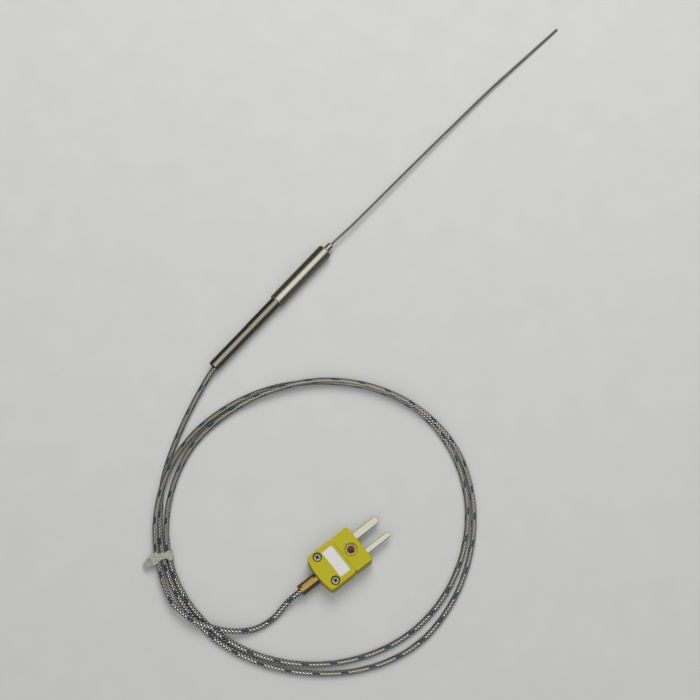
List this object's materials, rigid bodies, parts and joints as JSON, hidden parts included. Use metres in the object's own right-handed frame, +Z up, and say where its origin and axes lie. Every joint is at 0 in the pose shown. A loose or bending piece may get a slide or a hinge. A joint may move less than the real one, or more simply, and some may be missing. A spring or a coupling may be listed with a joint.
{
  "type": "thermocouple",
  "caption": "Mineral insulated thermocouple probe: thin metal sheath, steel pot seal, steel braided lead in a tied coil, and a yellow miniature flat-pin plug.",
  "frame": {"origin": "on the pot seal's axis, at the middle of its length", "axes": "+X along the pot seal towards the sheath's tip, +Z up from the bench that the object lies on, +Y to the left"},
  "size_m": [0.312, 0.1479, 0.008],
  "materials": {
    "sheath_steel": "drawn nickel alloy tube, dull mid grey satin",
    "pot_steel": "turned stainless steel, fine rings, satin",
    "tube_steel": "drawn stainless tube, satin",
    "element_alloy": "drawn nickel alloy wire",
    "oxide_powder": "pressed white oxide powder, matte",
    "potting_resin": "cured filled resin, dull",
    "fibre_packing": "packed glass fibre, matte",
    "glass_sleeving": "woven glass yarn, matte",
    "braid_steel": "fine stainless wire braid with one blue tracer yarn",
    "tie_film": "thin milky plastic strip, crumpled",
    "plug_plastic": "moulded glass filled nylon, fine spark texture, yellow green",
    "label_white": "plain white writing panel",
    "brass": "turned brass, slightly dulled",
    "screw_steel": "bright plated steel",
    "pin_alloy": "flat nickel alloy strip, satin"
  },
  "bodies": {
    "root": {"sheath_tube": "sheath_steel", "sheath_tip": "sheath_steel", "element_wire_positive": "element_alloy", "element_wire_negative": "element_alloy", "hot_junction_bead": "element_alloy", "insulating_powder": "oxide_powder", "nose_ferrule": "pot_steel", "pot_sleeve": "pot_steel", "crimp_tube": "tube_steel", "rear_seal": "fibre_packing", "splice_ferrule_positive": "brass", "splice_ferrule_negative": "brass", "pot_core_positive": "element_alloy", "pot_core_negative": "element_alloy", "pot_sleeving_positive": "glass_sleeving", "pot_sleeving_negative": "glass_sleeving", "potting_compound": "potting_resin", "lead_pot_side": "braid_steel", "lead_plug_side": "braid_steel", "lead_coil": "braid_steel", "coil_tie": "tie_film", "plug_base": "plug_plastic", "eyelet": "brass", "contact_blade_positive": "pin_alloy", "contact_blade_negative": "pin_alloy", "clamp_washer_positive": "screw_steel", "clamp_washer_negative": "screw_steel", "plug_core_positive": "element_alloy", "plug_core_negative": "element_alloy", "plug_sleeving_positive": "glass_sleeving", "plug_sleeving_negative": "glass_sleeving", "crimp_barrel": "brass", "crimp_sleeve": "brass"},
    "plug_cover": {"plug_lid": "plug_plastic", "label_insert": "label_white"},
    "cover_screw_left": {"cover_screw_left": "screw_steel"},
    "cover_screw_right": {"cover_screw_right": "screw_steel"},
    "terminal_screw_positive": {"terminal_screw_positive": "screw_steel"},
    "terminal_screw_negative": {"terminal_screw_negative": "screw_steel"}
  },
  "joints": [
    {"name": "cover_lift", "type": "slide", "parent": "root", "child": "plug_cover", "axis": [0, 0, 1], "range_m": [0, 0.008]},
    {"name": "cover_screw_left_turn", "type": "hinge", "parent": "plug_cover", "child": "cover_screw_left", "pos_m": [-0.0881, -0.08917, 0.0038], "axis": [0, 0, 1], "continuous": true},
    {"name": "cover_screw_right_turn", "type": "hinge", "parent": "plug_cover", "child": "cover_screw_right", "pos_m": [-0.09021, -0.10108, 0.0038], "axis": [0, 0, 1], "continuous": true},
    {"name": "terminal_screw_positive_turn", "type": "hinge", "parent": "root", "child": "terminal_screw_positive", "pos_m": [-0.08511, -0.09985, 0.0023], "axis": [0, 0, 1], "continuous": true},
    {"name": "terminal_screw_negative_turn", "type": "hinge", "parent": "root", "child": "terminal_screw_negative", "pos_m": [-0.08374, -0.09207, 0.0023], "axis": [0, 0, 1], "continuous": true}
  ]
}
